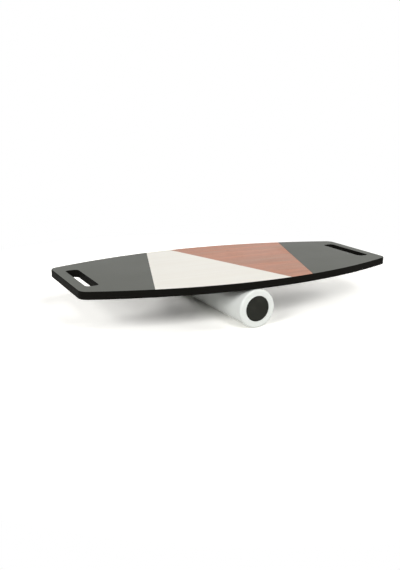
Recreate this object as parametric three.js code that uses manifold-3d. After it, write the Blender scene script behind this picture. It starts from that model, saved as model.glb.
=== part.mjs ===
// A rola bola: a flat, barrel-sided balance board lying level across a loose roller.
// Millimetres, +Z up. The origin is on the floor, under the middle of the board.
// +X runs along the board, +Y along the roller, away from the viewer.
import * as THREE from "three";
import { mergeVertices } from "three/addons/utils/BufferGeometryUtils.js";
import Module from "manifold-3d";

const wasm = await Module();
wasm.setup();

// Driving dimensions

const BOARD = {
  length: 720,
  middleWidth: 338,
  endWidth: 200,
  coreThickness: 14.7,
  facingThickness: 0.7, // coloured sheets laid side by side on the core
  cornerRun: 15, // how far a corner's curve runs along each side
  arris: 1, // easing of every outer edge
  seamGap: 0.2, // hairline between two facing sheets
};

// Three straight seams cross the board. Each has its place along the board where it would meet
// the far and the near side at full width, as shares of half the length.
const SEAM_SHARES = [
  { far: -0.323, near: -0.668 },
  { far: -0.163, near: 0.158 },
  { far: 0.666, near: 0.299 },
];

const GRIP_SLOT = {
  length: 134,
  width: 25.5,
  cornerRadius: 8,
  rimWidth: 22.5, // material left between the slot and the board's end
};

const STOP = {
  length: 160,
  width: 18,
  height: 10,
  endRadius: 8,
  arris: 2,
  insetFromSlot: 17, // bare wood between a grip slot and the stop
};

const SCREW = {
  headRadius: 4,
  headHeight: 2.6,
  headRim: 0.4,
  shankRadius: 2,
  tipLength: 3,
  tipRadius: 0.4,
  length: 18,
  sink: 0.3, // how far the head lies below the stop's face
  countPerStop: 3,
  spacingShare: 0.375, // between neighbours on one stop, as a share of its length
  crossSpan: 3.6,
  crossWidth: 0.9,
  crossDepth: 1.6,
};

const ROLLER = {
  radius: 39.5,
  overhang: 1, // past the board's widest part, at each end
  rimFillet: 4,
  boreRadius: 24,
  seatDepth: 4, // counterbore that takes a plug's head
  offset: -25, // from the middle of the board, along it
};

const PLUG = {
  headRadius: 25.8,
  headThickness: 3,
  headArris: 0.6,
  skirtLength: 20,
  skirtWall: 2.4,
  skirtGap: 1.2, // between the skirt and the bore
  ribCount: 4,
  ribWidth: 1.8,
};

const FIT = {
  rest: 0.3, // between the roller and the board that lies on it
  seat: 0.3, // round a plug's head and its ribs
  screw: 0.3, // round a screw
  cut: 2, // how far a cutter runs past what it cuts
};

// How finely the round stretches are divided

const ROLLER_SIDES = 90;
const PLUG_SIDES = 60;
const SCREW_SIDES = 16;
const SIDE_STEPS = 30;
const CORNER_STEPS = 5;
const FILLET_STEPS = 4;

// Sizes that follow from those above

const halfLength = BOARD.length / 2;
const halfMiddle = BOARD.middleWidth / 2;
const halfEnd = BOARD.endWidth / 2;
const boardThickness = BOARD.coreThickness + BOARD.facingThickness;
const rollerRise = ROLLER.radius * Math.cos(Math.PI / ROLLER_SIDES); // axis above the floor
const rollerHalfLength = halfMiddle + ROLLER.overhang;
const boardHeight = 2 * rollerRise + FIT.rest;
const slotCentre = halfLength - GRIP_SLOT.rimWidth - GRIP_SLOT.width / 2;
const stopCentre = slotCentre - GRIP_SLOT.width / 2 - STOP.insetFromSlot - STOP.width / 2;
const ENDS = { left: -1, right: 1 };
const SIDES = { near: -1, far: 1 };

// Materials

const finish = (color, roughness, metalness = 0) =>
  new THREE.MeshStandardMaterial({ color, roughness, metalness });

const material = {
  core: finish(0x1c1b18, 0.6),
  dark: finish(0x3a3b38, 0.45),
  cream: finish(0xece9e0, 0.45),
  timber: finish(0xb9876b, 0.5),
  stop: finish(0x191919, 0.8),
  screw: finish(0x4a4b4d, 0.35, 1),
  roller: finish(0xe6e9e6, 0.4),
  plug: finish(0x30302c, 0.75),
};

// Joining and cutting

// A closed geometry as a solid, with the vertices that faces share merged.
function solidOf(geometry) {
  const bare = geometry.clone();
  bare.deleteAttribute("normal");
  bare.deleteAttribute("uv");
  const merged = mergeVertices(bare);
  const mesh = new wasm.Mesh({
    numProp: 3,
    vertProperties: merged.attributes.position.array,
    triVerts: new Uint32Array(merged.index.array),
  });
  return new wasm.Manifold(mesh);
}

function geometryOf(solid) {
  const { vertProperties, triVerts } = solid.getMesh();
  const geometry = new THREE.BufferGeometry();
  geometry.setAttribute("position", new THREE.BufferAttribute(vertProperties, 3));
  geometry.setIndex(new THREE.BufferAttribute(triVerts, 1));
  geometry.computeVertexNormals();
  return geometry;
}

function meshOf(name, shape, look) {
  const geometry = shape.isBufferGeometry ? shape : geometryOf(shape);
  const mesh = new THREE.Mesh(geometry, look);
  mesh.name = name;
  return mesh;
}

// The board's blank: core and facings are trimmed, slotted and eased as one

// Half the board's width at a place along it: a parabola, widest in the middle.
const halfWidthAt = (x) => halfMiddle - (halfMiddle - halfEnd) * (x / halfLength) ** 2;

const bend = (start, control, end, steps) =>
  new THREE.QuadraticBezierCurve(start, control, end).getPoints(steps).slice(1);

// One long side and the corner curves at its two ends, walked from +X to -X for the far side.
function sideAndCorners(side) {
  const along = halfLength - BOARD.cornerRun;
  const across = halfWidthAt(along);
  const v = (x, y) => new THREE.Vector2(x, y * side);
  return [
    v(halfLength, halfEnd - BOARD.cornerRun),
    ...bend(
      v(halfLength, halfEnd - BOARD.cornerRun),
      v(halfLength, halfEnd),
      v(along, across),
      CORNER_STEPS,
    ),
    ...bend(v(along, across), v(0, 2 * halfMiddle - across), v(-along, across), SIDE_STEPS),
    ...bend(
      v(-along, across),
      v(-halfLength, halfEnd),
      v(-halfLength, halfEnd - BOARD.cornerRun),
      CORNER_STEPS,
    ),
  ];
}

function boardOutline() {
  return new THREE.Shape([...sideAndCorners(1), ...sideAndCorners(-1).reverse()]);
}

// A rectangle with round corners, centred on a point.
function roundedRectangle(centreX, sizeX, sizeY, radius) {
  const points = [];
  const corners = [
    [1, 1, 0],
    [-1, 1, 1],
    [-1, -1, 2],
    [1, -1, 3],
  ];
  for (const [signX, signY, quarter] of corners) {
    for (let i = 0; i <= CORNER_STEPS; i += 1) {
      const angle = ((quarter + i / CORNER_STEPS) * Math.PI) / 2;
      points.push(
        new THREE.Vector2(
          centreX + signX * (sizeX / 2 - radius) + radius * Math.cos(angle),
          signY * (sizeY / 2 - radius) + radius * Math.sin(angle),
        ),
      );
    }
  }
  return new THREE.Shape(points);
}

// A flat shape pulled up to a thickness, with both rims eased.
function easedSlab(shape, thickness, arris) {
  return new THREE.ExtrudeGeometry(shape, {
    depth: thickness - 2 * arris,
    bevelEnabled: true,
    bevelThickness: arris,
    bevelSize: arris,
    bevelOffset: -arris,
    bevelSegments: 2,
  }).translate(0, 0, arris);
}

function boardBlank() {
  const outline = boardOutline();
  for (const end of Object.values(ENDS)) {
    outline.holes.push(
      roundedRectangle(
        end * slotCentre,
        GRIP_SLOT.width,
        GRIP_SLOT.length,
        GRIP_SLOT.cornerRadius,
      ),
    );
  }
  return solidOf(easedSlab(outline, boardThickness, BOARD.arris));
}

// A block over the whole board between two heights.
function layer(bottom, top) {
  const block = new THREE.BoxGeometry(
    BOARD.length + 2 * FIT.cut,
    BOARD.middleWidth + 2 * FIT.cut,
    top - bottom,
  );
  return solidOf(block.translate(0, 0, (bottom + top) / 2));
}

// Stop screws

const screwPlaces = [];
for (const [endName, end] of Object.entries(ENDS)) {
  for (let i = 0; i < SCREW.countPerStop; i += 1) {
    screwPlaces.push({
      name: `stop_screw_${endName}_${i + 1}`,
      x: end * stopCentre,
      y: (i - (SCREW.countPerStop - 1) / 2) * SCREW.spacingShare * STOP.length,
    });
  }
}
const screwFace = -STOP.height + SCREW.sink;

// A screw's outline from its head's face up to its point, grown all round by a clearance.
function screwProfile(clearance, faceOverrun) {
  const slope = SCREW.headHeight - SCREW.headRim;
  return [
    [0, -faceOverrun],
    [SCREW.headRadius + clearance, -faceOverrun],
    [SCREW.headRadius + clearance, SCREW.headRim],
    [SCREW.shankRadius + clearance, SCREW.headRim + slope],
    [SCREW.shankRadius + clearance, SCREW.length - SCREW.tipLength],
    [SCREW.tipRadius + clearance, SCREW.length + clearance],
    [0, SCREW.length + clearance],
  ].map(([radius, height]) => new THREE.Vector2(radius, height));
}

// A lathed shape whose axis stands along Z, its foot at a point.
function turned(profile, sides, x, y, z) {
  return new THREE.LatheGeometry(profile, sides).rotateX(Math.PI / 2).translate(x, y, z);
}

function screwHole({ x, y }) {
  return solidOf(turned(screwProfile(FIT.screw, FIT.cut), SCREW_SIDES, x, y, screwFace));
}

function screw({ name, x, y }) {
  let body = solidOf(turned(screwProfile(0, 0), SCREW_SIDES, x, y, screwFace));
  for (const turn of [0, Math.PI / 2]) {
    const blade = new THREE.BoxGeometry(
      SCREW.crossSpan,
      SCREW.crossWidth,
      2 * SCREW.crossDepth,
    );
    body = body.subtract(solidOf(blade.rotateZ(turn).translate(x, y, screwFace)));
  }
  return meshOf(name, body, material.screw);
}

const drilled = (solid) =>
  screwPlaces.reduce((left, place) => left.subtract(screwHole(place)), solid);

// The board's layers, cut from the blank

const blank = boardBlank();

const seams = SEAM_SHARES.map(({ far, near }) => ({
  far: far * halfLength,
  near: near * halfLength,
}));

// The strip of the board between two seams, each half a seam gap in from its line.
function strip(left, right) {
  const past = halfMiddle + FIT.cut;
  const edge = (seam, y, inset) => {
    const middle = (seam.far + seam.near) / 2;
    const lean = (seam.far - seam.near) / 2 / halfMiddle;
    return new THREE.Vector2(middle + lean * y + inset, y);
  };
  const inset = BOARD.seamGap / 2;
  const shape = new THREE.Shape([
    edge(right, past, -inset),
    edge(left, past, inset),
    edge(left, -past, inset),
    edge(right, -past, -inset),
  ]);
  const sheet = new THREE.ExtrudeGeometry(shape, {
    depth: BOARD.facingThickness,
    bevelEnabled: false,
  });
  return solidOf(sheet.translate(0, 0, BOARD.coreThickness));
}

const edgeOfBoard = halfLength + FIT.cut;
const cuts = [
  { far: -edgeOfBoard, near: -edgeOfBoard },
  ...seams,
  { far: edgeOfBoard, near: edgeOfBoard },
];

const facings = [
  ["facing_dark_left", material.dark],
  ["facing_cream", material.cream],
  ["facing_timber", material.timber],
  ["facing_dark_right", material.dark],
].map(([name, look], i) => meshOf(name, blank.intersect(strip(cuts[i], cuts[i + 1])), look));

const core = meshOf(
  "deck_core",
  drilled(blank.intersect(layer(0, BOARD.coreThickness))),
  material.core,
);

// Stops under the board, which keep the roller from running out

function stopBatten(name, end) {
  const bar = easedSlab(
    roundedRectangle(end * stopCentre, STOP.width, STOP.length, STOP.endRadius),
    STOP.height + STOP.arris,
    STOP.arris,
  ).translate(0, 0, -STOP.height);
  const trimmed = solidOf(bar).intersect(layer(-STOP.height - FIT.cut, 0));
  return meshOf(name, drilled(trimmed), material.stop);
}

const stops = Object.entries(ENDS).map(([name, end]) => stopBatten(`stop_batten_${name}`, end));

// The roller: a thick tube with a seat for a plug in each end

function rollerTube() {
  const end = rollerHalfLength;
  const seatRadius = PLUG.headRadius + FIT.seat;
  const profile = [];
  for (const side of [-1, 1]) {
    const mouth = [
      [ROLLER.boreRadius, side * (end - ROLLER.seatDepth)],
      [seatRadius, side * (end - ROLLER.seatDepth)],
      [seatRadius, side * end],
    ].map(([radius, along]) => new THREE.Vector2(radius, along));
    for (let i = 0; i <= FILLET_STEPS; i += 1) {
      const angle = (i / FILLET_STEPS) * (Math.PI / 2);
      mouth.push(
        new THREE.Vector2(
          ROLLER.radius - ROLLER.rimFillet * (1 - Math.sin(angle)),
          side * (end - ROLLER.rimFillet * (1 - Math.cos(angle))),
        ),
      );
    }
    profile.push(...(side < 0 ? mouth : mouth.reverse()));
  }
  profile.push(profile[0].clone());
  return meshOf("roller_tube", new THREE.LatheGeometry(profile, ROLLER_SIDES), material.roller);
}

// A plug: a flat head in the tube's seat, and a hollow skirt whose ribs grip the bore.
function endPlug(name, side) {
  const end = rollerHalfLength;
  const under = end - ROLLER.seatDepth + FIT.seat;
  const face = under + PLUG.headThickness;
  const skirtRadius = ROLLER.boreRadius - PLUG.skirtGap;
  const ribRadius = ROLLER.boreRadius - FIT.seat;
  const foot = under - PLUG.skirtLength;
  const points = [
    [0, under],
    [skirtRadius - PLUG.skirtWall, under],
    [skirtRadius - PLUG.skirtWall, foot],
    [skirtRadius, foot],
  ];
  const ribPitch = PLUG.skirtLength / (PLUG.ribCount + 1);
  for (let i = 0; i < PLUG.ribCount; i += 1) {
    const crest = foot + (i + 1) * ribPitch;
    points.push([skirtRadius, crest - PLUG.ribWidth], [ribRadius, crest]);
    points.push([skirtRadius, crest]);
  }
  points.push([skirtRadius, under], [PLUG.headRadius, under]);
  points.push([PLUG.headRadius, face - PLUG.headArris], [PLUG.headRadius - PLUG.headArris, face]);
  points.push([0, face]);
  const profile = points.map(([radius, along]) => new THREE.Vector2(radius, side * along));
  if (side < 0) profile.reverse();
  return meshOf(name, new THREE.LatheGeometry(profile, PLUG_SIDES), material.plug);
}

// Assembly

const board = new THREE.Group();
board.add(core, ...facings, ...stops, ...screwPlaces.map(screw));
board.position.z = boardHeight;

const roller = new THREE.Group();
roller.add(rollerTube());
for (const [name, side] of Object.entries(SIDES)) roller.add(endPlug(`end_plug_${name}`, side));
roller.position.set(ROLLER.offset, 0, rollerRise);
roller.rotation.y = Math.PI / ROLLER_SIDES; // a facet, not an edge, on the floor

const rolaBola = new THREE.Group();
rolaBola.add(board, roller);

export default rolaBola;
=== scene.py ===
"""A rola bola in its finished look: a bowed balance board lying level across a loose white roller.

Metres, +Z up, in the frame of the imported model. +X runs along the board, +Y along the roller.
"""

import logging
import math
from dataclasses import dataclass, field
from enum import Enum
from typing import ClassVar

import bmesh
import bpy
import numpy as np
from mathutils import Matrix, Vector
from mathutils.geometry import tessellate_polygon


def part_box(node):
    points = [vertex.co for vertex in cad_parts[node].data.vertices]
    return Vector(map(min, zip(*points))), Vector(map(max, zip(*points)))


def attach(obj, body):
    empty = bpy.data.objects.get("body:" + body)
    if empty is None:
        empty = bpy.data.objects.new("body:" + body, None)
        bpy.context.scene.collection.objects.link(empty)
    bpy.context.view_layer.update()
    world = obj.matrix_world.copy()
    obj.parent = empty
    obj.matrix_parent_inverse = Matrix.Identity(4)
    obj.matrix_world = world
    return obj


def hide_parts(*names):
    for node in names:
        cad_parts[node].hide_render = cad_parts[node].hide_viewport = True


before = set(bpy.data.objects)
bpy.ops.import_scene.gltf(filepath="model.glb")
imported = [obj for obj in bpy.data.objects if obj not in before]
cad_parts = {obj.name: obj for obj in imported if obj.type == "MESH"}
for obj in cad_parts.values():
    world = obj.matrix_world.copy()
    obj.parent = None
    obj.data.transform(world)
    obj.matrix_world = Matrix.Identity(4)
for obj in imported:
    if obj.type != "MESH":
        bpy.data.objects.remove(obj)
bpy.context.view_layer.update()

LOG = logging.getLogger("rola_bola")
MM = 0.001
WHITE = (1.0, 1.0, 1.0, 1.0)
# Points closer than this are one, and a point this near to a line lies on it.
SAME_PLACE = 1e-7
# The sine of a bend that counts as none.
NO_TURN = 1e-6
# Edges that bend less are shaded smooth.
SMOOTH_BELOW = math.radians(32)

Colour = tuple[float, float, float, float]
Points = np.ndarray
Piece = bpy.types.Object
Material = bpy.types.Material
Group = bpy.types.NodeTree
Socket = bpy.types.NodeSocket
Sockets = dict[str, Socket]
Value = float | Colour | Socket


class Body(Enum):
    """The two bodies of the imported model."""

    BOARD = "board"
    ROLLER = "roller"


class End(Enum):
    """The two ends of the board, and the two sides of a seam."""

    LEFT = "left"
    RIGHT = "right"

    @property
    def sign(self) -> int:
        """Which way along X it lies."""
        return 1 if self is End.RIGHT else -1


class Axis(Enum):
    """The row axis that a turned piece is turned about."""

    Y = "y"
    Z = "z"


class Kind(Enum):
    """What a shader group's input or output carries."""

    VECTOR = "NodeSocketVector"
    FLOAT = "NodeSocketFloat"
    COLOUR = "NodeSocketColor"


def srgb(red: int, green: int, blue: int) -> Colour:
    """A screen colour as linear light.

    Each channel c from 0 to 1 becomes ((c + 0.055) / 1.055) to the power 2.4, or c / 12.92 near black.

    Args:
        red, green, blue: the channels from 0 to 255.

    Returns:
        Linear red, green and blue, and an alpha of 1.
    """
    screen = np.array([red, green, blue]) / 255
    light = np.where(screen > 0.04045, ((screen + 0.055) / 1.055) ** 2.4, screen / 12.92)
    return (*light.tolist(), 1.0)


# Outlines and profiles


def curve(start: Points, control: Points, end: Points, steps: int) -> Points:
    """A quadratic curve without its first point: (1-t)² start + 2t(1-t) control + t² end."""
    t = np.linspace(0, 1, steps + 1)[1:, None]
    return (1 - t) ** 2 * start + 2 * t * (1 - t) * control + t**2 * end


def whole_turn(steps: int) -> np.ndarray:
    """The angles of a whole turn in equal steps, from 0."""
    return np.linspace(0, 2 * math.pi, steps, endpoint=False)


def rounded_rectangle(centre_x: float, size_x: float, size_y: float, radius: float, steps: int) -> Points:
    """A rectangle with round corners, anticlockwise.

    Corner q's arc is its centre plus radius times (cos a, sin a), with a from q to q + 1 quarter turns.

    Args:
        centre_x: where its centre lies on the X axis.
        size_x, size_y: its size along each axis.
        radius: of the corners.
        steps: how many straight steps each corner's arc has.

    Returns:
        The loop's points, one row each.
    """
    quarter = np.arange(4)[:, None]
    angle = (quarter + np.linspace(0, 1, steps + 1)) * math.pi / 2
    sign_x = np.where((quarter == 0) | (quarter == 3), 1, -1)
    sign_y = np.where(quarter < 2, 1, -1)
    x = centre_x + sign_x * (size_x / 2 - radius) + radius * np.cos(angle)
    y = sign_y * (size_y / 2 - radius) + radius * np.sin(angle)
    return np.stack([x.ravel(), y.ravel()], axis=1)


def clip(loop: Points, normal: np.ndarray, offset: float) -> Points:
    """The part of a convex loop on one side of a straight line.

    A point's depth is its dot product with the normal, less the offset. Points of no negative depth
    stay, and each step whose ends differ in sign gives the point where its depth is zero.

    Args:
        loop: the points, one row each.
        normal: across the line, towards the side that is kept.
        offset: the line's distance from the origin along the normal.

    Returns:
        The clipped loop.
    """
    depth = loop @ normal - offset
    after = np.roll(loop, -1, axis=0)
    depth_after = np.roll(depth, -1)
    crosses = depth * depth_after < 0
    share = np.where(crosses, depth / np.where(crosses, depth - depth_after, 1), 0)
    crossing = loop + share[:, None] * (after - loop)
    points = np.stack([loop, crossing], axis=1).reshape(-1, 2)
    return points[np.stack([depth >= 0, crosses], axis=1).ravel()]


def rounded_profile(corners: list[tuple[float, float, float]], closed: bool, steps: int = 8) -> Points:
    """A polyline whose corners are rounded, with a guard point a little before and after each arc.

    At a corner between the unit directions a and b, an arc of radius f leaves the lines f·tan(h)
    from the corner, where h is half the turn. Guard points keep the flats flat when shaded smooth.

    Args:
        corners: each corner's two coordinates and its radius, where 0 keeps it sharp.
        closed: whether the last corner joins the first.
        steps: how many straight steps each arc has.

    Returns:
        The profile's points, one row each.
    """
    longest_guard, guard_share = 0.3 * MM, 0.2
    points = np.array([corner[:2] for corner in corners])
    pieces = []
    for i, (_, _, radius) in enumerate(corners):
        inner = closed or 0 < i < len(corners) - 1
        if radius == 0 or not inner:
            pieces.append(points[i][None])
            continue
        back = points[i - 1] - points[i]
        ahead = points[(i + 1) % len(corners)] - points[i]
        reach_back, reach_ahead = np.linalg.norm(back), np.linalg.norm(ahead)
        back, ahead = back / reach_back, ahead / reach_ahead
        half_turn = math.acos(float(np.clip(-back @ ahead, -1, 1))) / 2
        run = radius * math.tan(half_turn)
        middle = (back + ahead) / np.linalg.norm(back + ahead)
        centre = points[i] + middle * radius / math.cos(half_turn)
        turn = np.linspace(-half_turn, half_turn, steps + 1)[:, None]
        side = (ahead - back) / np.linalg.norm(ahead - back)
        arc = centre + radius * (np.sin(turn) * side - np.cos(turn) * middle)
        guard = min(longest_guard, guard_share * min(reach_back, reach_ahead))
        before = points[i] + back * (run + guard)
        after = points[i] + ahead * (run + guard)
        pieces.append(np.vstack([before, arc, after]))
    return np.vstack(pieces)


def inset_loop(loop: Points, insets: np.ndarray) -> Points:
    """A loop whose every side has moved to its left by its own amount.

    A vertex goes to q where n1·q = n1·p + i1 and n2·q = n2·p + i2, for the left normals n1 and n2
    and the insets i1 and i2 of the sides before and after it. On a straight stretch it goes i1 n1.

    Args:
        loop: the points, one row each.
        insets: for each side, which runs from its point to the next, how far it moves.

    Returns:
        The moved loop.
    """
    side = np.roll(loop, -1, axis=0) - loop
    side = side / np.linalg.norm(side, axis=1, keepdims=True)
    n2 = np.stack([-side[:, 1], side[:, 0]], axis=1)
    n1, i2 = np.roll(n2, 1, axis=0), np.asarray(insets)
    i1 = np.roll(i2, 1)
    cross = n1[:, 0] * n2[:, 1] - n1[:, 1] * n2[:, 0]
    bends = np.abs(cross) > NO_TURN
    safe = np.where(bends, cross, 1)
    x = np.where(bends, (i1 * n2[:, 1] - i2 * n1[:, 1]) / safe, i1 * n1[:, 0])
    y = np.where(bends, (n1[:, 0] * i2 - n2[:, 0] * i1) / safe, i1 * n1[:, 1])
    return loop + np.stack([x, y], axis=1)


# Meshes


@dataclass
class Wall:
    """A wall carried round a closed loop, from the bottom ring to the top one.

    Attributes:
        loop: its outline, anticlockwise round material and clockwise round a hole.
        insets: how far into the material each ring lies, a row per ring and a column per side.
        heights: each ring's height.
        looks: the material number of each side between two rings, a row fewer than insets.
    """

    loop: Points
    insets: np.ndarray
    heights: np.ndarray
    looks: np.ndarray

    @classmethod
    def plain(cls, loop: Points, profile: Points) -> "Wall":
        """A wall of the first material, with the same profile of (inset, height) all round."""
        insets = np.repeat(profile[:, :1], len(loop), axis=1)
        return cls(loop, insets, profile[:, 1], np.zeros((len(profile) - 1, len(loop)), dtype=int))

    def rings(self) -> np.ndarray:
        """Every ring's points.

        Returns:
            An array of rings, points and coordinates.
        """
        flat = np.stack([inset_loop(self.loop, row) for row in self.insets])
        height = np.broadcast_to(self.heights[:, None, None], (*flat.shape[:2], 1))
        return np.concatenate([flat, height], axis=2)


def grid_quads(rows: int, columns: int, wrap_rows: bool = False) -> np.ndarray:
    """The quads of a grid of points that closes on itself along its columns.

    Point (r, c) has the number r · columns + c, and its quad takes in the next row and column.

    Args:
        rows, columns: the grid's size.
        wrap_rows: whether the last row joins the first.

    Returns:
        Each quad's four point numbers.
    """
    row = np.arange(rows if wrap_rows else rows - 1)[:, None]
    column = np.arange(columns)[None]
    below, above = row * columns, (row + 1) % rows * columns
    after = (column + 1) % columns
    return np.stack([below + column, below + after, above + after, above + column], axis=-1).reshape(-1, 4)


def put_in_scene(name: str, data: bpy.types.ID) -> bpy.types.Object:
    """Makes an object at the origin from a mesh, a lamp or a camera.

    Args:
        name: the object's name.
        data: what it shows.

    Returns:
        The object, linked to the scene.
    """
    item = bpy.data.objects.new(name, data)
    bpy.context.scene.collection.objects.link(item)
    return item


def make_piece(
    name: str,
    vertices: Points,
    faces: list[list[int]],
    materials: list[Material],
    looks: np.ndarray | None = None,
) -> Piece:
    """A closed object at the origin, shaded smooth except at its sharp edges.

    Args:
        name: the object's name.
        vertices: the points, one row each.
        faces: each face's point numbers.
        materials: in the order of their numbers.
        looks: each face's material number, all 0 if left out.

    Returns:
        The new object, with its doubled points merged and its faces pointing out.
    """
    mesh = bpy.data.meshes.new(name)
    mesh.from_pydata(vertices.tolist(), [], faces)
    for material in materials:
        mesh.materials.append(material)
    if looks is not None:
        mesh.polygons.foreach_set("material_index", np.asarray(looks, dtype=np.int32))
    work = bmesh.new()
    work.from_mesh(mesh)
    bmesh.ops.remove_doubles(work, verts=work.verts, dist=SAME_PLACE)
    bmesh.ops.recalc_face_normals(work, faces=work.faces)
    work.to_mesh(mesh)
    work.free()
    mesh.shade_smooth()
    mesh.set_sharp_from_angle(angle=SMOOTH_BELOW)
    return put_in_scene(name, mesh)


def slab(name: str, walls: list[Wall], materials: list[Material], cap_look: int = 0) -> Piece:
    """A flat piece: walls round its outline and its holes, closed by a flat face below and above.

    Args:
        name: the object's name.
        walls: the outline's wall first, then one for each hole.
        materials: in the order of their numbers.
        cap_look: the material number of the two flat faces.

    Returns:
        The new object.
    """
    points, quads, looks, start = [], [], [], 0
    bottom, top, bottom_numbers, top_numbers = [], [], [], []
    for wall in walls:
        rings = wall.rings()
        rows, columns = rings.shape[:2]
        points.append(rings.reshape(-1, 3))
        quads.append(grid_quads(rows, columns) + start)
        looks.append(wall.looks.ravel())
        bottom.append([Vector(point) for point in rings[0]])
        top.append([Vector(point) for point in rings[-1]])
        bottom_numbers.append(start + np.arange(columns))
        top_numbers.append(start + (rows - 1) * columns + np.arange(columns))
        start += rows * columns
    faces = np.vstack(quads).tolist()
    for outlines, numbers in ((bottom, bottom_numbers), (top, top_numbers)):
        triangles = np.concatenate(numbers)[np.array(tessellate_polygon(outlines))]
        faces += triangles.tolist()
        looks.append(np.full(len(triangles), cap_look))
    return make_piece(name, np.vstack(points), faces, materials, np.concatenate(looks))


def turned(profile: Points, sides: int, axis: Axis, foot: Vector) -> np.ndarray:
    """A profile of (radius, height) carried round an axis.

    At the angle a, a point of radius r and height h goes to foot + r (cos a, sin a) + h along the axis.

    Args:
        profile: the points, one row each.
        sides: how many steps the turn has.
        axis: the row axis to turn about.
        foot: the point of height zero on the axis.

    Returns:
        The grid's points, an array of profile points, sides and coordinates.
    """
    angle = whole_turn(sides)[None]
    radius, height = profile[:, :1], profile[:, 1:]
    across = radius * np.cos(angle)
    other = radius * np.sin(angle)
    along = np.broadcast_to(height, across.shape)
    order = (across, along, other) if axis is Axis.Y else (across, other, along)
    return np.stack(order, axis=-1) + np.array(foot)


def turned_piece(name: str, grid: np.ndarray, closed: bool, material: Material) -> Piece:
    """An object from a turned grid, whose profile is closed or starts and ends on the axis."""
    quads = grid_quads(*grid.shape[:2], closed).tolist()
    return make_piece(name, grid.reshape(-1, 3), quads, [material])


# Shader groups

PATTERN = {"Vector": Kind.VECTOR, "Per Metre": Kind.FLOAT}


class Wiring:
    """A node tree that is being filled."""

    def __init__(self, tree: Group) -> None:
        """Empties the tree and keeps it."""
        tree.nodes.clear()
        self.tree = tree

    def add(self, kind: str, inputs: dict | None = None, **settings: object) -> bpy.types.Node:
        """Adds a node.

        Args:
            kind: the node's type.
            inputs: for each input's name or number, a value or the output socket that feeds it.
            settings: the node's own properties.

        Returns:
            The node.
        """
        node = self.tree.nodes.new(kind)
        for name, value in settings.items():
            setattr(node, name, value)
        for key, value in (inputs or {}).items():
            if isinstance(value, Socket):
                self.tree.links.new(value, node.inputs[key])
            else:
                node.inputs[key].default_value = value
        return node

    def math(self, operation: str, first: Value, second: Value = 0.0) -> Socket:
        """The result of a Math node on two values or sockets."""
        return self.add("ShaderNodeMath", {0: first, 1: second}, operation=operation).outputs[0]

    def weigh(self, *terms: tuple[Socket, float]) -> Socket:
        """A sum of values, each times its own weight.

        Args:
            terms: each value and its weight.

        Returns:
            The sum.
        """
        total = 0.0
        for value, weight in terms:
            inputs = {0: value, 1: weight, 2: total}
            total = self.add("ShaderNodeMath", inputs, operation="MULTIPLY_ADD").outputs[0]
        return total

    def scaled(self, vector: Value, x: Value, y: Value, z: Value) -> Socket:
        """A vector multiplied by three scales."""
        scale = self.add("ShaderNodeCombineXYZ", {0: x, 1: y, 2: z}).outputs[0]
        return self.add("ShaderNodeVectorMath", {0: vector, 1: scale}, operation="MULTIPLY").outputs[0]

    def noise(self, vector: Value, scale: Value, detail: float, distortion: Value = 0.0) -> Socket:
        """The value, about 0.5, of a noise texture."""
        inputs = {"Vector": vector, "Scale": scale, "Detail": detail, "Distortion": distortion}
        return self.add("ShaderNodeTexNoise", inputs).outputs[0]

    def ramp(self, value: Value, low: float, high: float) -> Socket:
        """A value spread so that low gives 0 and high gives 1, smoothly and with no more outside."""
        inputs = {0: value, 1: low, 2: high, 3: 0.0, 4: 1.0}
        return self.add("ShaderNodeMapRange", inputs, interpolation_type="SMOOTHSTEP").outputs[0]

    def blend(self, share: Value, first: Value, second: Value) -> Socket:
        """A colour that goes from the first to the second as share goes from 0 to 1."""
        return self.add("ShaderNodeMix", {0: share, 6: first, 7: second}, data_type="RGBA").outputs[2]


def new_group(name: str, inputs: dict[str, Kind], output: str, kind: Kind) -> tuple[Wiring, Sockets]:
    """A shader group with its sockets, to be filled.

    Args:
        name: the group's name.
        inputs: each input's name and kind.
        output: the output's name.
        kind: the output's kind.

    Returns:
        The group's wiring, and what it is given as sockets by their names.
    """
    tree = bpy.data.node_groups.new(name, "ShaderNodeTree")
    for title, carried in inputs.items():
        tree.interface.new_socket(title, in_out="INPUT", socket_type=carried.value)
    tree.interface.new_socket(output, in_out="OUTPUT", socket_type=kind.value)
    wiring = Wiring(tree)
    given = wiring.add("NodeGroupInput").outputs
    return wiring, {title: given[title] for title in inputs}


def grain_group() -> Group:
    """Streaks that run along X: noise whose X is drawn out by Stretch.

    Returns:
        A group that puts out a mask.
    """
    own = {"Stretch": Kind.FLOAT, "Waviness": Kind.FLOAT}
    wiring, given = new_group("lengthwise_grain", PATTERN | own, "Mask", Kind.FLOAT)
    across = given["Per Metre"]
    along = wiring.math("DIVIDE", across, given["Stretch"])
    place = wiring.scaled(given["Vector"], along, across, across)
    streaks = wiring.noise(place, scale=1.0, detail=4.0, distortion=given["Waviness"])
    wiring.add("NodeGroupOutput", {"Mask": wiring.ramp(streaks, low=0.3, high=0.7)})
    return wiring.tree


def smudge_group() -> Group:
    """Soft patches left by hands and cloths.

    Returns:
        A group that puts out a roughness between Clean and Dulled.
    """
    own = {"Clean": Kind.FLOAT, "Dulled": Kind.FLOAT}
    wiring, given = new_group("handling_smudges", PATTERN | own, "Roughness", Kind.FLOAT)
    cloud = wiring.noise(given["Vector"], given["Per Metre"], detail=5.0, distortion=0.4)
    spread = wiring.math("SUBTRACT", given["Dulled"], given["Clean"])
    raised = wiring.math("MULTIPLY", wiring.ramp(cloud, low=0.38, high=0.68), spread)
    wiring.add("NodeGroupOutput", {"Roughness": wiring.math("ADD", raised, given["Clean"])})
    return wiring.tree


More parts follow.
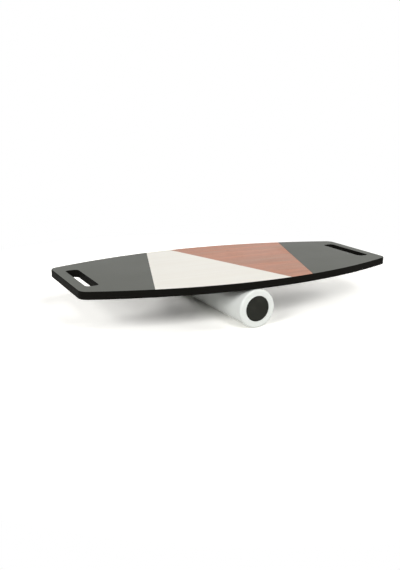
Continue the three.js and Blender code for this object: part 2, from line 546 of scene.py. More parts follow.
def pebble_group() -> Group:
    """The fine relief of a sprayed, pressed or moulded skin, over a broader one.

    Returns:
        A group that puts out a height.
    """
    wiring, given = new_group("fine_pebble", PATTERN | {"Softness": Kind.FLOAT}, "Height", Kind.FLOAT)
    fine = wiring.noise(given["Vector"], given["Per Metre"], detail=2.0)
    broad_scale = wiring.math("DIVIDE", given["Per Metre"], given["Softness"])
    broad = wiring.noise(given["Vector"], broad_scale, detail=2.0)
    wiring.add("NodeGroupOutput", {"Height": wiring.math("ADD", fine, broad)})
    return wiring.tree


def scuff_group() -> Group:
    """Sparse short rub marks: streaks drawn out along Y, kept where a broad cloud is thick.

    Returns:
        A group that puts out a colour, which leans to Scuffed on the marks.
    """
    stretch_share, cloud_share = 0.18, 0.12
    own = {"Amount": Kind.FLOAT, "Colour": Kind.COLOUR, "Scuffed": Kind.COLOUR}
    wiring, given = new_group("rub_marks", PATTERN | own, "Colour", Kind.COLOUR)
    scale = given["Per Metre"]
    stretched = wiring.scaled(given["Vector"], scale, wiring.math("MULTIPLY", scale, stretch_share), scale)
    streaks = wiring.noise(stretched, scale=1.0, detail=6.0, distortion=1.2)
    cloud = wiring.noise(given["Vector"], wiring.math("MULTIPLY", scale, cloud_share), detail=2.0)
    kept = wiring.math(
        "MULTIPLY", wiring.ramp(streaks, low=0.62, high=0.78), wiring.ramp(cloud, low=0.5, high=0.7),
    )
    share = wiring.math("MULTIPLY", kept, given["Amount"])
    wiring.add("NodeGroupOutput", {"Colour": wiring.blend(share, given["Colour"], given["Scuffed"])})
    return wiring.tree


@dataclass(frozen=True)
class Effects:
    """The shader effects that several finishes share, each a group built once."""

    grain: Group = field(default_factory=grain_group)
    smudges: Group = field(default_factory=smudge_group)
    pebble: Group = field(default_factory=pebble_group)
    scuffs: Group = field(default_factory=scuff_group)


class Painter(Wiring):
    """The node tree of one material, with its Object coordinates and the shared effects at hand."""

    def __init__(self, tree: Group, effects: Effects) -> None:
        """Starts the tree with its coordinates.

        Args:
            tree: the material's nodes, which are cleared.
            effects: the shared shader groups.
        """
        super().__init__(tree)
        self.effects = effects
        self.spot = self.add("ShaderNodeTexCoord").outputs["Object"]

    def effect(self, group: Group, **inputs: Value) -> Socket:
        """What a shared group puts out here, its inputs named with underscores for spaces."""
        named = {name.replace("_", " "): value for name, value in inputs.items()}
        return self.add("ShaderNodeGroup", {"Vector": self.spot, **named}, node_tree=group).outputs[0]

    def grain(self, per_metre: float, stretch: float, waviness: float) -> Socket:
        """A mask of streaks along X."""
        return self.effect(self.effects.grain, Per_Metre=per_metre, Stretch=stretch, Waviness=waviness)

    def pebble(self, per_metre: float, softness: float) -> Socket:
        """The height of a fine relief over one that is broader by softness."""
        return self.effect(self.effects.pebble, Per_Metre=per_metre, Softness=softness)

    def scuffs(self, per_metre: float, amount: float, colour: Value, scuffed: Colour) -> Socket:
        """A colour with rub marks in another."""
        inputs = {"Per_Metre": per_metre, "Amount": amount, "Colour": colour, "Scuffed": scuffed}
        return self.effect(self.effects.scuffs, **inputs)


# Finishes


@dataclass(frozen=True)
class Skin:
    """What every finish starts from.

    Attributes:
        name: the material's name.
        colour: its main colour.
        clean: roughness where it is clean.
        dulled: roughness where it is smudged.
        specular: how strongly it mirrors, where 0.5 is a plain plastic.
        smudges_per_metre: how closely its smudges lie.
        metallic: 1 for a metal.
        relief: how deep its relief is.
    """

    name: str
    colour: Colour
    clean: float
    dulled: float
    specular: float

    smudges_per_metre: ClassVar[float] = 9.0
    metallic: ClassVar[float] = 0.0
    relief: ClassVar[float] = 0.0

    def surface(self, paint: Painter) -> tuple[Value, Socket]:
        """What is its own in a finish.

        Args:
            paint: the material's nodes.

        Returns:
            Its colour over the surface, and its relief as a height of about 0 to 1.
        """
        raise NotImplementedError

    def material(self, effects: Effects) -> Material:
        """Mixes the finish.

        Args:
            effects: the shared shader groups.

        Returns:
            The finished material.
        """
        material = bpy.data.materials.new(self.name)
        material.use_nodes = True
        paint = Painter(material.node_tree, effects)
        colour, height = self.surface(paint)
        roughness = paint.effect(
            effects.smudges, Per_Metre=self.smudges_per_metre, Clean=self.clean, Dulled=self.dulled,
        )
        bump = paint.add("ShaderNodeBump", {"Height": height, "Distance": self.relief})
        shader = paint.add("ShaderNodeBsdfPrincipled", {
            "Base Color": colour,
            "Metallic": self.metallic,
            "Roughness": roughness,
            "Specular IOR Level": self.specular,
            "Normal": bump.outputs[0],
        })
        paint.add("ShaderNodeOutputMaterial", {"Surface": shader.outputs[0]})
        return material


@dataclass(frozen=True)
class Lacquer(Skin):
    """Black lacquer sprayed on wood, with the plies faintly showing in an edge.

    Attributes:
        ply: the height of a light ply and a dark one together.
        end_grain: the colour that every other ply leans to.
        rubbed: the colour where it has been rubbed.
    """

    ply: float
    end_grain: Colour
    rubbed: Colour

    relief: ClassVar[float] = 0.03 * MM

    def surface(self, paint: Painter) -> tuple[Value, Socket]:
        """Bands of fibres under a sprayed skin: they follow the sine of 2π height / ply.

        Args:
            paint: the material's nodes.

        Returns:
            Its colour and its relief.
        """
        height = paint.add("ShaderNodeSeparateXYZ", {0: paint.spot}).outputs[2]
        wave = paint.math("SINE", paint.math("MULTIPLY", height, 2 * math.pi / self.ply))
        fibres = paint.noise(paint.spot, scale=900.0, detail=3.0)
        bands = paint.math("MULTIPLY", paint.ramp(wave, low=-0.2, high=0.2), fibres)
        toned = paint.blend(bands, self.colour, self.end_grain)
        colour = paint.scuffs(per_metre=260.0, amount=0.4, colour=toned, scuffed=self.rubbed)
        spray = paint.pebble(per_metre=900.0, softness=3.0)
        grain = paint.grain(per_metre=420.0, stretch=40.0, waviness=0.2)
        return colour, paint.weigh((spray, 1.0), (wave, 0.12), (grain, 0.5))


@dataclass(frozen=True)
class Laminate(Skin):
    """A satin decor sheet pressed flat, with a faint lengthwise streak.

    Attributes:
        streak: the colour that the streaks lean to.
    """

    streak: Colour

    relief: ClassVar[float] = 0.02 * MM

    def surface(self, paint: Painter) -> tuple[Value, Socket]:
        """Faint streaks in a pressed skin.

        Args:
            paint: the material's nodes.

        Returns:
            Its colour and its relief.
        """
        grain = paint.grain(per_metre=90.0, stretch=30.0, waviness=0.3)
        pressed = paint.pebble(per_metre=1600.0, softness=4.0)
        return paint.blend(grain, self.colour, self.streak), pressed


@dataclass(frozen=True)
class Timber(Skin):
    """A sliced timber veneer: broad flames, growth lines and short dark pores.

    Attributes:
        flame: the colour of the broad greyer bands.
        line: the colour of the growth lines.
        pore: the colour of the pores.
        line_strength, pore_strength: how far lines and pores take on their colours.
    """

    flame: Colour
    line: Colour
    pore: Colour

    relief: ClassVar[float] = 0.04 * MM
    line_strength: ClassVar[float] = 0.65
    pore_strength: ClassVar[float] = 0.5

    def surface(self, paint: Painter) -> tuple[Value, Socket]:
        """Flames, then lines, then pores laid over one another, with the pores sunk.

        Args:
            paint: the material's nodes.

        Returns:
            Its colour and its relief.
        """
        flames = paint.grain(per_metre=24.0, stretch=8.0, waviness=0.9)
        lines = paint.grain(per_metre=105.0, stretch=20.0, waviness=0.6)
        fine = paint.grain(per_metre=1300.0, stretch=24.0, waviness=0.1)
        line_share = paint.math("MULTIPLY", lines, self.line_strength)
        pore_share = paint.math("MULTIPLY", paint.ramp(fine, low=0.62, high=0.95), self.pore_strength)
        broad = paint.blend(flames, self.colour, self.flame)
        lined = paint.blend(line_share, broad, self.line)
        return paint.blend(pore_share, lined, self.pore), paint.weigh((lines, 0.3), (pore_share, -1.0))


@dataclass(frozen=True)
class TurnedPlastic(Skin):
    """Solid white plastic, turned on a lathe: fine rings round its axis and a few rub marks.

    Attributes:
        rubbed: the colour of the rub marks.
    """

    rubbed: Colour

    relief: ClassVar[float] = 0.012 * MM

    def surface(self, paint: Painter) -> tuple[Value, Socket]:
        """Rub marks over rings, which are noise that changes only along Y.

        Args:
            paint: the material's nodes.

        Returns:
            Its colour and its relief.
        """
        colour = paint.scuffs(per_metre=160.0, amount=0.22, colour=self.colour, scuffed=self.rubbed)
        along = paint.scaled(paint.spot, 0.0, 1.0, 0.0)
        rings = paint.noise(along, scale=1500.0, detail=3.0)
        skin = paint.pebble(per_metre=700.0, softness=3.0)
        return colour, paint.weigh((rings, 1.0), (skin, 0.4))


@dataclass(frozen=True)
class Rubber(Skin):
    """Moulded black rubber with a matt, fine-grained skin and a trace of dust.

    Attributes:
        dust: the colour that it leans to where dust clings.
        dust_strength: how far it leans there.
    """

    dust: Colour

    relief: ClassVar[float] = 0.05 * MM
    dust_strength: ClassVar[float] = 0.4

    def surface(self, paint: Painter) -> tuple[Value, Socket]:
        """Dust in soft clouds on a moulded skin.

        Args:
            paint: the material's nodes.

        Returns:
            Its colour and its relief.
        """
        cloud = paint.noise(paint.spot, scale=60.0, detail=6.0, distortion=0.5)
        dusty = paint.math("MULTIPLY", paint.ramp(cloud, low=0.45, high=0.8), self.dust_strength)
        return paint.blend(dusty, self.colour, self.dust), paint.pebble(per_metre=1100.0, softness=2.0)


@dataclass(frozen=True)
class BlackSteel(Skin):
    """Blackened steel, rubbed brighter in places.

    Attributes:
        bright: the colour where the blacking is rubbed off.
    """

    bright: Colour

    metallic: ClassVar[float] = 1.0
    relief: ClassVar[float] = 0.01 * MM

    def surface(self, paint: Painter) -> tuple[Value, Socket]:
        """Bright patches in the blacking.

        Args:
            paint: the material's nodes.

        Returns:
            Its colour and its relief.
        """
        worn = paint.ramp(paint.noise(paint.spot, scale=700.0, detail=4.0), low=0.5, high=0.75)
        return paint.blend(worn, self.colour, self.bright), paint.pebble(per_metre=2500.0, softness=2.0)


class Palette:
    """Every material of the object, built once."""

    def __init__(self, effects: Effects) -> None:
        """Mixes the finishes.

        Args:
            effects: the shared shader groups.
        """
        core_ply, batten_ply = 2.8 * MM, 3 * MM
        self.lacquer = Lacquer(
            "black_edge_lacquer", srgb(17, 17, 15), clean=0.6, dulled=0.7, specular=0.02,
            ply=core_ply, end_grain=srgb(27, 25, 22), rubbed=srgb(52, 49, 43),
        ).material(effects)
        self.underside = Lacquer(
            "black_underside_lacquer", srgb(26, 26, 24), clean=0.48, dulled=0.62, specular=0.3,
            ply=core_ply, end_grain=srgb(31, 30, 28), rubbed=srgb(66, 62, 56),
        ).material(effects)
        self.dark = Laminate(
            "charcoal_laminate", srgb(40, 43, 30), clean=0.43, dulled=0.45, specular=0.5,
            streak=srgb(42, 45, 33),
        ).material(effects)
        self.cream = Laminate(
            "cream_laminate", srgb(235, 232, 223), clean=0.43, dulled=0.46, specular=0.5,
            streak=srgb(233, 229, 219),
        ).material(effects)
        self.timber = Timber(
            "reddish_timber", srgb(188, 121, 88), clean=0.42, dulled=0.47, specular=0.5,
            flame=srgb(158, 125, 101), line=srgb(162, 97, 72), pore=srgb(122, 78, 58),
        ).material(effects)
        self.stop = Lacquer(
            "black_stop_lacquer", srgb(26, 26, 26), clean=0.52, dulled=0.66, specular=0.35,
            ply=batten_ply, end_grain=srgb(30, 30, 29), rubbed=srgb(64, 60, 54),
        ).material(effects)
        self.screw = BlackSteel(
            "blackened_steel", srgb(58, 59, 62), clean=0.32, dulled=0.42, specular=0.5,
            bright=srgb(120, 120, 122),
        ).material(effects)
        self.roller = TurnedPlastic(
            "white_turned_plastic", srgb(226, 229, 225), clean=0.36, dulled=0.44, specular=0.5,
            rubbed=srgb(196, 198, 194),
        ).material(effects)
        self.plug = Rubber(
            "black_moulded_rubber", srgb(36, 37, 33), clean=0.62, dulled=0.74, specular=0.12,
            dust=srgb(50, 50, 45),
        ).material(effects)


# The object's sub-assemblies


def seat(piece: Piece, body: Body, node: str) -> None:
    """Makes a piece ride on its body and stand for its CAD node.

    Args:
        piece: the piece.
        body: what it moves with.
        node: the CAD node's name.
    """
    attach(piece, body.value)
    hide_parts(node)
    LOG.info("%s: %d faces, stands for %s", piece.name, len(piece.data.polygons), node)


@dataclass
class Board:
    """The deck, its four coloured facings, and the two stops that are screwed under it.

    Attributes:
        palette: the materials.
        end_width: the deck's width at its ends, before its corners are rounded.
        corner_run: how far a corner's curve runs along each side.
        corner_steps, side_steps: how many straight steps a corner's curve and a long side have.
        arris: the easing of every outer edge.
        seam_gap: between two facings.
        seam_arris: the easing of a facing along a seam.
        seam_shares: where each seam would meet the far and the near side at full width, as shares
            of half the length.
        slot_width, slot_length, slot_radius, slot_rim: a grip slot's size, its corners, and the
            material left outside it.
        slot_steps: how many steps each corner of a slot has.
        stop_width, stop_length, stop_radius, stop_arris: a stop's size and rounding.
        stop_steps: how many steps each corner of a stop has.
    """

    palette: Palette
    end_width: float = 200 * MM
    corner_run: float = 15 * MM
    corner_steps: int = 16
    side_steps: int = 160
    arris: float = 1 * MM
    seam_gap: float = 0.2 * MM
    seam_arris: float = 0.12 * MM
    seam_shares: tuple[tuple[float, float], ...] = ((-0.323, -0.668), (-0.163, 0.158), (0.666, 0.299))
    slot_width: float = 25.5 * MM
    slot_length: float = 134 * MM
    slot_radius: float = 8 * MM
    slot_rim: float = 22.5 * MM
    slot_steps: int = 14
    stop_width: float = 18 * MM
    stop_length: float = 160 * MM
    stop_radius: float = 8 * MM
    stop_arris: float = 2 * MM
    stop_steps: int = 12

    def __post_init__(self) -> None:
        """Reads the deck's length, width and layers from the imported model."""
        low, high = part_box("deck_core")
        self.half_length, self.half_width = high.x, high.y
        self.underside, self.core_top = low.z, high.z
        self.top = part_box("facing_cream")[1].z

    def outline(self) -> Points:
        """The deck's outline: a parabola along each side and a curve at each corner.

        Before its corners are rounded, the board is full - (full - end) (x / half length)² wide at x.
        The near half is the far half turned round by half a turn.

        Returns:
            The loop, anticlockwise.
        """
        half_end = self.end_width / 2
        along = self.half_length - self.corner_run
        across = self.half_width - (self.half_width - half_end) * (along / self.half_length) ** 2
        start = np.array([self.half_length, half_end - self.corner_run])
        corner = np.array([self.half_length, half_end])
        shoulder = np.array([along, across])
        crown = np.array([0, 2 * self.half_width - across])
        mirror = np.array([-1, 1])
        far = np.vstack([
            start,
            curve(start, corner, shoulder, self.corner_steps),
            curve(shoulder, crown, shoulder * mirror, self.side_steps),
            curve(shoulder * mirror, corner * mirror, start * mirror, self.corner_steps),
        ])
        return np.vstack([far, -far])

    def slot_loop(self, end: End) -> Points:
        """The outline of one end's grip slot.

        Args:
            end: the left end or the right one.

        Returns:
            The loop, clockwise.
        """
        centre = end.sign * (self.half_length - self.slot_rim - self.slot_width / 2)
        size = (self.slot_width, self.slot_length)
        return rounded_rectangle(centre, *size, self.slot_radius, self.slot_steps)[::-1]

    def edge_profile(self) -> Points:
        """The whole edge from the underside up to the top face, eased at both.

        Returns:
            Its points of (inset, height). The first and last corner, which only show the easings
            where to run, are left off.
        """
        inner = 3 * self.arris
        corners = [
            (inner, self.underside, 0), (0, self.underside, self.arris),
            (0, self.top, self.arris), (inner, self.top, 0),
        ]
        return rounded_profile(corners, closed=False)[1:-1]

    def split_profile(self) -> tuple[Points, Points]:
        """The edge cut at the height of the core's top.

        Returns:
            The part below and the part above, both with the point between them.
        """
        profile = self.edge_profile()
        rising = slice(int(np.argmin(profile[:, 0])), None)
        inset = np.interp(self.core_top, profile[rising, 1], profile[rising, 0])
        cut = np.array([[inset, self.core_top]])
        lower = profile[profile[:, 1] < self.core_top]
        upper = profile[profile[:, 1] > self.core_top]
        return np.vstack([lower, cut]), np.vstack([cut, upper])

    def build_core(self) -> None:
        """The core, with its two slots and its edges eased."""
        lower, _ = self.split_profile()
        walls = [Wall.plain(loop, lower) for loop in (self.outline(), *map(self.slot_loop, End))]
        core = slab("deck", walls, [self.palette.lacquer, self.palette.underside], cap_look=1)
        seat(core, Body.BOARD, "deck_core")

    def facing_wall(self, loop: Points, on_seam: np.ndarray) -> Wall:
        """A facing's wall: lacquered, and eased at the rim but nearly square along a seam.

        Along a seam the inset at a height of h above the easing's foot is e - √(e² - h²). The last
        ring lies inside the easing on the flat top, and the strip before it has the facing's finish,
        as the easing of a seam has.

        Args:
            loop: the facing's outline.
            on_seam: whether each side lies on a seam.

        Returns:
            The wall.
        """
        _, upper = self.split_profile()
        heights = upper[:, 1]
        rise = np.clip(heights - (self.top - self.seam_arris), 0, self.seam_arris)
        seam = self.seam_arris - np.sqrt(self.seam_arris**2 - rise**2)
        seam[-1] += upper[-1, 0] - upper[-2, 0]
        insets = np.where(on_seam[None], seam[:, None], upper[:, :1])
        rows = len(heights) - 1
        rim = np.arange(rows)[:, None] < rows - 1
        deep = heights[1:, None] <= self.top - self.seam_arris
        return Wall(loop, insets, heights, (rim & (deep | ~on_seam)).astype(int))

    def seam_line(self, number: int, side: End) -> tuple[np.ndarray, float]:
        """A seam's line, moved half a gap to one side.

        Args:
            number: which seam, from the left.
            side: on which side of it the panel lies.

        Returns:
            The normal towards that panel, and the line's offset along it.
        """
        far, near = (share * self.half_length for share in self.seam_shares[number])
        lean = (far - near) / (2 * self.half_width)
        normal = np.array([1, -lean]) / math.hypot(1, lean) * side.sign
        middle = np.array([(far + near) / 2 + side.sign * self.seam_gap / 2, 0])
        return normal, float(middle @ normal)

    def build_facings(self) -> None:
        """The four facings, each the deck's outline cut at the seams beside it."""
        paint = self.palette
        left_slot, right_slot = map(self.slot_loop, End)
        facings = (
            ("dark_panel_left", "facing_dark_left", "dark_facing", paint.dark, [left_slot]),
            ("cream_panel", "facing_cream", "cream_facing", paint.cream, []),
            ("timber_panel", "facing_timber", "timber_facing", paint.timber, []),
            ("dark_panel_right", "facing_dark_right", "dark_facing", paint.dark, [right_slot]),
        )
        seams = range(len(self.seam_shares))
        for i, (title, node, slot, material, holes) in enumerate(facings):
            loop = self.outline()
            beside = ((i - 1, End.RIGHT), (i, End.LEFT))
            lines = [self.seam_line(seam, side) for seam, side in beside if seam in seams]
            for normal, offset in lines:
                loop = clip(loop, normal, offset)
            on_seam = np.zeros(len(loop), dtype=bool)
            for normal, offset in lines:
                touches = np.abs(loop @ normal - offset) < SAME_PLACE
                on_seam |= touches & np.roll(touches, -1)
            walls = [self.facing_wall(loop, on_seam)]
            walls += [self.facing_wall(hole, np.zeros(len(hole), dtype=bool)) for hole in holes]
            seat(slab(title, walls, [material, paint.lacquer]), Body.BOARD, node)

    def build_stops(self, screws: "Screws") -> None:
        """The two stops under the deck, each with its countersunk holes.

        Args:
            screws: the screws that hold them.
        """
        size = (self.stop_width, self.stop_length)
        for end in End:
            low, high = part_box(f"stop_batten_{end.value}")
            inner = 2 * self.stop_arris
            corners = [(inner, low.z, 0), (0, low.z, self.stop_arris), (0, high.z, 0)]
            profile = rounded_profile(corners, closed=False)[1:]
            loop = rounded_rectangle((low.x + high.x) / 2, *size, self.stop_radius, self.stop_steps)
            walls = [Wall.plain(loop, profile)]
            walls += [screws.hole(place, low.z, high.z) for place in screws.places(end)]
            stop = slab(f"stop_{end.value}", walls, [self.palette.stop])
            seat(stop, Body.BOARD, f"stop_batten_{end.value}")


@dataclass
class Screws:
    """The countersunk screws that hold the stops.

    Attributes:
        material: their metal.
        count: in each stop.
        head: radius of the head.
        head_height: from the face to the shank.
        head_easing: of the face's edge.
        rim: height of the head's straight rim.
        shank: radius of the shank.
        neck: the fillet between the head and the shank.
        straight_share: how much of the length is over before the point starts.
        clearance: round the screw in its hole.
        arm: half the length of the cross recess.
        arm_width: half the width of its arms.
        recess: its depth.
        face_share: how much of the face, from its middle, has rings fine enough for the recess.
        face_rings: how many rings those are.
        sides, hole_sides: how many steps a screw's turn and a hole's have.
    """

    material: Material
    count: int = 3
    head: float = 4 * MM
    head_height: float = 2.6 * MM
    head_easing: float = 0.2 * MM
    rim: float = 0.4 * MM
    shank: float = 2 * MM
    neck: float = 0.3 * MM
    straight_share: float = 0.8
    clearance: float = 0.3 * MM
    arm: float = 1.8 * MM
    arm_width: float = 0.45 * MM
    recess: float = 1.6 * MM
    face_share: float = 0.6
    face_rings: int = 26
    sides: int = 72
    hole_sides: int = 48

    def places(self, end: End) -> list[Vector]:
        """The middle of each screw's face in one stop."""
        boxes = [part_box(f"stop_screw_{end.value}_{i + 1}") for i in range(self.count)]
        return [Vector(((low.x + high.x) / 2, (low.y + high.y) / 2, low.z)) for low, high in boxes]

    def hole(self, place: Vector, bottom: float, top: float) -> Wall:
        """A countersunk hole's wall through a stop.

        Args:
            place: the middle of the screw's face.
            bottom: the stop's face.
            top: the stop's back.

        Returns:
            The wall, whose loop is the hole at its narrowest.
        """
        turn = -whole_turn(self.hole_sides)
        radius = self.shank + self.clearance
        loop = np.stack([place.x + radius * np.cos(turn), place.y + radius * np.sin(turn)], axis=1)
        widening = self.head - self.shank
        heights = [bottom, place.z + self.rim, place.z + self.head_height, top]
        return Wall.plain(loop, np.stack([[widening, widening, 0, 0], heights], axis=1))

    def recess_depth(self, radius: np.ndarray) -> np.ndarray:
        """How deep the cross recess is at each place of the head's face.

        It has its full depth inside either arm, and falls smoothly, as s² (3 - 2s) with s from 1
        to 0, over a third of the arm's half width beside it and over the last half width at its end.

        Args:
            radius: of each ring, one row each.

        Returns:
            The depth, an array of rings and sides.
        """
        angle = whole_turn(self.sides)[None]
        x, y = np.abs(radius * np.cos(angle)), np.abs(radius * np.sin(angle))
        across, along = np.minimum(x, y), np.maximum(x, y)
        fade = self.arm_width / 3
        inside = np.clip((self.arm_width - across) / fade + 1, 0, 1)
        reach = np.clip((self.arm - along) / self.arm_width, 0, 1)
        return self.recess * inside**2 * (3 - 2 * inside) * reach**2 * (3 - 2 * reach)

    def build(self) -> None:
        """Every screw: a turned head, shank and point, with the recess pressed into its face."""
        fine = self.head * self.face_share
        face = np.stack([np.linspace(0, fine, self.face_rings), np.zeros(self.face_rings)], axis=1)
        for end in End:
            for i, place in enumerate(self.places(end)):
                name = f"stop_screw_{end.value}_{i + 1}"
                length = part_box(name)[1].z - place.z
                corners = [
                    (fine, 0, 0), (self.head, 0, self.head_easing), (self.head, self.rim, 0),
                    (self.shank, self.head_height, self.neck),
                    (self.shank, self.straight_share * length, 0), (0, length, 0),
                ]
                profile = np.vstack([face, rounded_profile(corners, closed=False, steps=4)[1:]])
                grid = turned(profile, self.sides, Axis.Z, place)
                grid[: len(face), :, 2] += self.recess_depth(face[:, :1])
                screw = turned_piece(f"{name}_turned", grid, False, self.material)
                seat(screw, Body.BOARD, name)


@dataclass
class Roller:
    """The loose roller: a thick white tube with a black plug seated in each end.

    Attributes:
        palette: the materials.
        radius: of the tube.
        rim: rounding of the tube's ends.
        bore: radius of the bore.
        bore_easing: of the bore's edge at the counterbore.
        seat_depth: of the counterbore that takes a plug's head.
        seat_fillet: in the counterbore's corner.
        seat_gap: round a plug's head.
        mouth: easing of the counterbore's mouth.
        plug_radius, plug_thickness: a plug's head.
        plug_arris, plug_back: the easing of the head's face and of its back.
        skirt, skirt_wall, skirt_gap: the plug's skirt: its length, wall and distance from the bore.
        skirt_fillet, skirt_easing: inside where the skirt meets the head, and at its open end.
        ribs, rib_width: the skirt's ribs.
        sides: how many steps the turn has.
    """

    palette: Palette
    radius: float = 39.5 * MM
    rim: float = 4 * MM
    bore: float = 24 * MM
    bore_easing: float = 0.3 * MM
    seat_depth: float = 4 * MM
    seat_fillet: float = 0.2 * MM
    seat_gap: float = 0.3 * MM
    mouth: float = 0.4 * MM
    plug_radius: float = 25.8 * MM
    plug_thickness: float = 3 * MM
    plug_arris: float = 0.6 * MM
    plug_back: float = 0.3 * MM
    skirt: float = 20 * MM
    skirt_wall: float = 2.4 * MM
    skirt_gap: float = 1.2 * MM
    skirt_fillet: float = 1 * MM
    skirt_easing: float = 0.4 * MM
    ribs: int = 4
    rib_width: float = 1.8 * MM
    sides: int = 240

    def __post_init__(self) -> None:
        """Reads the tube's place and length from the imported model."""
        low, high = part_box("roller_tube")
        self.half_length = high.y
        self.axle = Vector(((low.x + high.x) / 2, 0, low.z + self.radius))

    def build_tube(self) -> None:
        """The tube, turned from a closed profile with round rims and a seat at each end."""
        end, inner = self.half_length, self.half_length - self.seat_depth
        seat_radius = self.plug_radius + self.seat_gap
        far = [
            (self.bore, inner, self.bore_easing), (seat_radius, inner, self.seat_fillet),
            (seat_radius, end, self.mouth), (self.radius, end, self.rim),
        ]
        near = [(radius, -along, rounding) for radius, along, rounding in reversed(far)]
        profile = rounded_profile(far + near, closed=True, steps=10)
        grid = turned(profile, self.sides, Axis.Y, self.axle)
        tube = turned_piece("tube", grid, True, self.palette.roller)
        seat(tube, Body.ROLLER, "roller_tube")

    def plug_profile(self) -> Points:
        """A plug's half section, from the axis under its head round to the axis on its face.

        Each rib is a saw tooth: it slopes out from the skirt to its crest and drops straight back.

        Returns:
            Its points of (radius, place along the roller).
        """
        under = self.half_length - self.seat_depth + self.seat_gap
        face = under + self.plug_thickness
        outer = self.bore - self.skirt_gap
        inside = outer - self.skirt_wall
        crest = self.bore - self.seat_gap
        foot = under - self.skirt
        pitch = self.skirt / (self.ribs + 1)
        corners = [(0, under, 0), (inside, under, self.skirt_fillet)]
        corners += [(inside, foot, self.skirt_easing), (outer, foot, self.skirt_easing)]
        for i in range(self.ribs):
            top = foot + (i + 1) * pitch
            corners += [(outer, top - self.rib_width, 0), (crest, top, 0), (outer, top, 0)]
        corners += [(outer, under, 0), (self.plug_radius, under, self.plug_back)]
        corners += [(self.plug_radius, face, self.plug_arris), (0, face, 0)]
        return rounded_profile(corners, closed=False)

    def build_plugs(self) -> None:
        """The two plugs, one the other's mirror image."""
        for end, side in (("near", -1), ("far", 1)):
            grid = turned(self.plug_profile() * [1, side], self.sides, Axis.Y, self.axle)
            plug = turned_piece(f"plug_{end}", grid, False, self.palette.plug)
            seat(plug, Body.ROLLER, f"end_plug_{end}")


# The studio


@dataclass(frozen=True)
class Lamp:
    """A square soft lamp that faces the object.

    Attributes:
        name: the lamp's name.
        azimuth: its direction from the object in degrees, anticlockwise from +X.
        elevation: its angle above the floor in degrees.
        watts: its power.
        distance: from the object.
        size: of its sides.
    """

    name: str
    azimuth: float
    elevation: float
    watts: float
    distance: float = 4.0
    size: float = 1.4

    def build(self, aim: Vector) -> None:
        """Hangs the lamp and turns it towards a point.

        At the azimuth a and the elevation e it hangs distance (cos a cos e, sin a cos e, sin e) away.

        Args:
            aim: the point that it faces.
        """
        data = bpy.data.lights.new(self.name, "AREA")
        data.shape = "SQUARE"
        data.size = self.size
        data.energy = self.watts
        a, e = math.radians(self.azimuth), math.radians(self.elevation)
        away = Vector((math.cos(a) * math.cos(e), math.sin(a) * math.cos(e), math.sin(e)))
        turn = (-away).to_track_quat("-Z", "Y").to_matrix().to_4x4()
        lamp = put_in_scene(self.name, data)
        lamp.matrix_world = Matrix.Translation(aim + away * self.distance) @ turn
        lamp.visible_camera = False
        lamp.visible_glossy = False


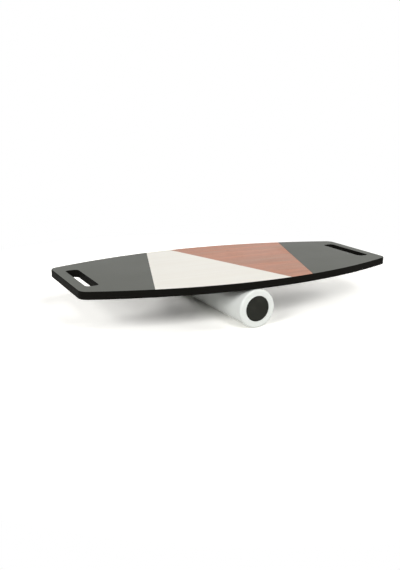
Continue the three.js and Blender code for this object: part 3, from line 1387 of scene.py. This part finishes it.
@dataclass
class Studio:
    """A white floor and backdrop, a ring of low soft lamps, and the camera.

    Attributes:
        image_height: of the picture, in pixels.
        focal_pixels: the lens's focal length, in the same pixels.
        sensor: the long side of the camera's sensor, in millimetres.
        azimuth, dip, roll: the camera's heading from +Y, how far it looks down, and its lean.
        eye: where the camera stands.
        floor_half_side, floor_drop: half the floor's side, and how far it lies under the object.
        floor_colour: how much light the floor gives back to the object.
        floor_shown: the floor's colour as it is seen, which is past white so that faint shadows fade.
        floor_tint: what warms its shadows.
        fade_start, fade_end: how far from the middle the floor starts and ends its turn to plain white.
        aim: the point that the lamps face.
        lamps: the lamps.
    """

    image_height: int = 570
    focal_pixels: float = 669.4
    sensor: float = 36.0
    azimuth: float = math.radians(27.685)
    dip: float = math.radians(14.935)
    roll: float = math.radians(0.79)
    eye: Vector = field(default_factory=lambda: Vector((-0.7071, -1.2259, 0.420)))
    floor_half_side: float = 40.0
    floor_drop: float = 0.05 * MM
    floor_colour: float = 0.7
    floor_shown: float = 1.45
    floor_tint: tuple[float, float, float] = (1.0, 0.99, 0.955)
    fade_start: float = 0.55
    fade_end: float = 0.85
    aim: Vector = field(default_factory=lambda: Vector((0, 0, 0.05)))
    lamps: tuple[Lamp, ...] = (
        Lamp("front", azimuth=270, elevation=38, watts=66),
        Lamp("left", azimuth=210, elevation=24, watts=106),
        Lamp("back", azimuth=90, elevation=24, watts=67),
        Lamp("back_right", azimuth=60, elevation=14, watts=97),
        Lamp("right", azimuth=330, elevation=24, watts=55),
    )

    def build_camera(self) -> None:
        """The camera, as it stood for the photograph."""
        data = bpy.data.cameras.new("camera")
        data.sensor_width = self.sensor
        data.lens = self.focal_pixels / self.image_height * self.sensor
        camera = put_in_scene("camera", data)
        turn = Matrix.Rotation(-self.azimuth, 4, "Z") @ Matrix.Rotation(math.pi / 2 - self.dip, 4, "X")
        camera.matrix_world = Matrix.Translation(self.eye) @ turn @ Matrix.Rotation(self.roll, 4, "Z")
        bpy.context.scene.camera = camera

    @staticmethod
    def seen(wiring: Wiring) -> Socket:
        """Where the floor and the backdrop are looked at, rather than lighting something.

        Args:
            wiring: the nodes to add to.

        Returns:
            1 where the camera, a mirroring or a clear surface looks, and 0 where a matt one is lit.
        """
        rays = wiring.add("ShaderNodeLightPath").outputs
        mirrored = wiring.math("MAXIMUM", rays["Is Camera Ray"], rays["Is Glossy Ray"])
        return wiring.math("MAXIMUM", mirrored, rays["Is Transmission Ray"])

    def build_world(self) -> None:
        """A room that shows white and leaves the light to the lamps."""
        world = bpy.data.worlds.new("room")
        world.use_nodes = True
        wiring = Wiring(world.node_tree)
        white = wiring.add("ShaderNodeBackground", {"Color": WHITE, "Strength": self.seen(wiring)})
        wiring.add("ShaderNodeOutputWorld", {"Surface": white.outputs[0]})
        bpy.context.scene.world = world

    def floor_material(self) -> Material:
        """A matt floor that keeps shadows near the object and turns plain white further off.

        Returns:
            The material.
        """
        material = bpy.data.materials.new("white_floor")
        material.use_nodes = True
        wiring = Wiring(material.node_tree)
        seen = self.seen(wiring)
        lift = wiring.math("MULTIPLY", seen, self.floor_shown - self.floor_colour)
        bright = wiring.math("ADD", lift, self.floor_colour)
        colour = wiring.scaled(self.floor_tint, bright, bright, bright)
        matt = wiring.add("ShaderNodeBsdfDiffuse", {"Color": colour})
        plain = wiring.add("ShaderNodeEmission", {"Color": WHITE, "Strength": 1.0})
        place = wiring.add("ShaderNodeTexCoord").outputs["Object"]
        reach = wiring.add("ShaderNodeVectorMath", {0: place}, operation="LENGTH").outputs["Value"]
        far = wiring.math("MULTIPLY", wiring.ramp(reach, self.fade_start, self.fade_end), seen)
        mix = wiring.add("ShaderNodeMixShader", {0: far, 1: matt.outputs[0], 2: plain.outputs[0]})
        wiring.add("ShaderNodeOutputMaterial", {"Surface": mix.outputs[0]})
        return material

    def build_floor(self) -> None:
        """A floor that runs to the horizon."""
        corners = np.array([[-1, -1], [1, -1], [1, 1], [-1, 1]]) * self.floor_half_side
        mesh = bpy.data.meshes.new("floor")
        mesh.from_pydata([(x, y, -self.floor_drop) for x, y in corners], [], [(0, 1, 2, 3)])
        mesh.materials.append(self.floor_material())
        put_in_scene("floor", mesh)

    def build(self) -> None:
        """Everything round the object, and how the picture is developed."""
        self.build_camera()
        self.build_world()
        self.build_floor()
        for lamp in self.lamps:
            lamp.build(self.aim)
        bpy.context.scene.view_settings.view_transform = "Standard"


def main() -> None:
    """Builds the studio, the board and the roller, in that order."""
    logging.basicConfig(level=logging.INFO, format="%(name)s: %(message)s")
    Studio().build()
    palette = Palette(Effects())
    board = Board(palette)
    screws = Screws(palette.screw)
    board.build_core()
    board.build_facings()
    board.build_stops(screws)
    screws.build()
    roller = Roller(palette)
    roller.build_tube()
    roller.build_plugs()


if __name__ == "__main__":
    main()
